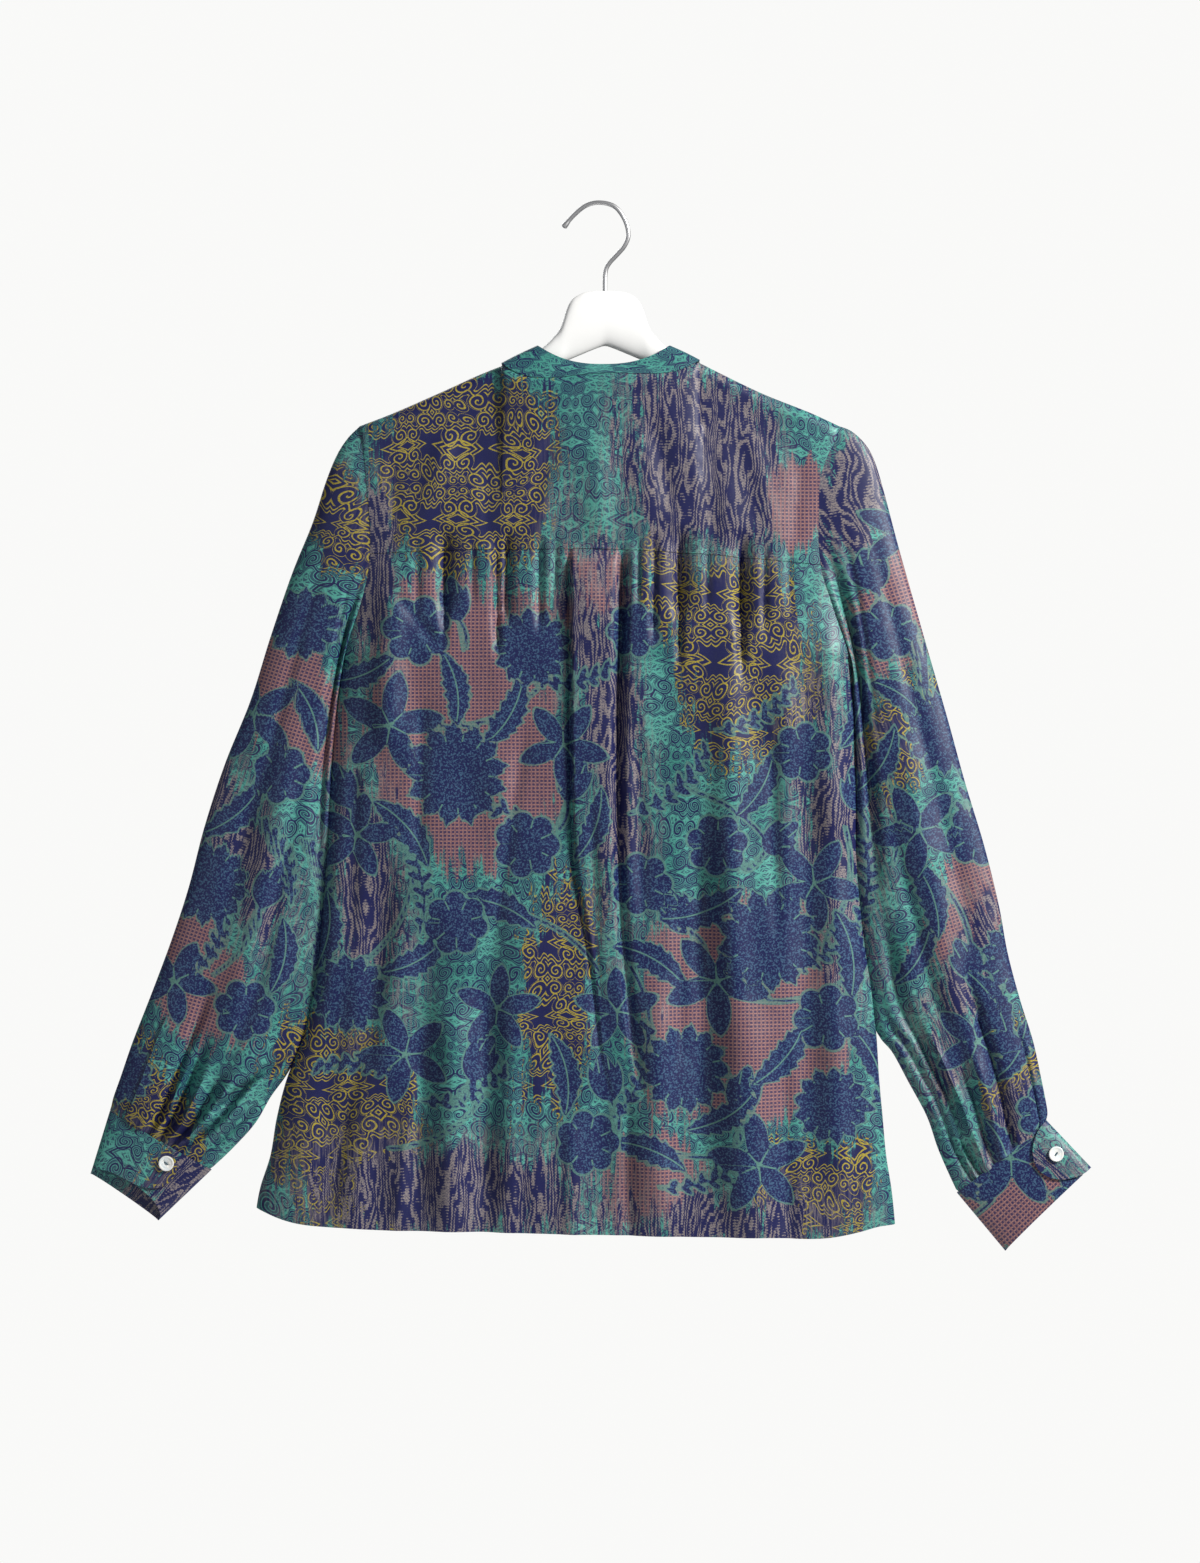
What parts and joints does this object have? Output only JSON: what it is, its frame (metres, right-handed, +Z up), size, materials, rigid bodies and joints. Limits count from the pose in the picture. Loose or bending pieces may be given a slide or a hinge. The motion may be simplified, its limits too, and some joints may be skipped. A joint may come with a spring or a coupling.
{
  "type": "blouse on a hanger",
  "caption": "Long-sleeved silk blouse with a band collar, back yoke and box pleat, printed all over, hanging back outward on a contoured hanger with a wire hook.",
  "frame": {"origin": "inside of the hook's top, at the middle of the wire, where a rail or peg bears", "axes": "+Z up, -Y out of the blouse's back, +X towards the wearer's right sleeve"},
  "size_m": [0.8257, 0.0508, 0.8671],
  "materials": {
    "print_silk": "satin silk, printed all over in teal, navy, olive yellow and dusty rose",
    "shell_button": "polished, milky white like shell",
    "hanger_lacquer": "smooth white lacquer",
    "hook_wire": "polished wire"
  },
  "bodies": {
    "root": {"back_yoke": "print_silk", "back_panel": "print_silk", "front_left": "print_silk", "front_right": "print_silk", "front_placket": "print_silk", "collar_band": "print_silk", "sleeve_left_upper_back": "print_silk", "sleeve_left_upper_front": "print_silk", "sleeve_left_middle": "print_silk", "sleeve_left_lower": "print_silk", "sleeve_right_upper_back": "print_silk", "sleeve_right_upper_front": "print_silk", "sleeve_right_middle": "print_silk", "sleeve_right_lower": "print_silk", "cuff_left": "print_silk", "cuff_right": "print_silk", "sleeve_placket_left": "print_silk", "sleeve_placket_right": "print_silk", "cuff_button_left": "shell_button", "cuff_button_right": "shell_button", "hanger_board": "hanger_lacquer", "hanger_hook": "hook_wire", "front_button_1": "shell_button", "front_button_2": "shell_button", "front_button_3": "shell_button", "front_button_4": "shell_button", "front_button_5": "shell_button", "front_button_6": "shell_button", "front_button_7": "shell_button"}
  },
  "joints": []
}
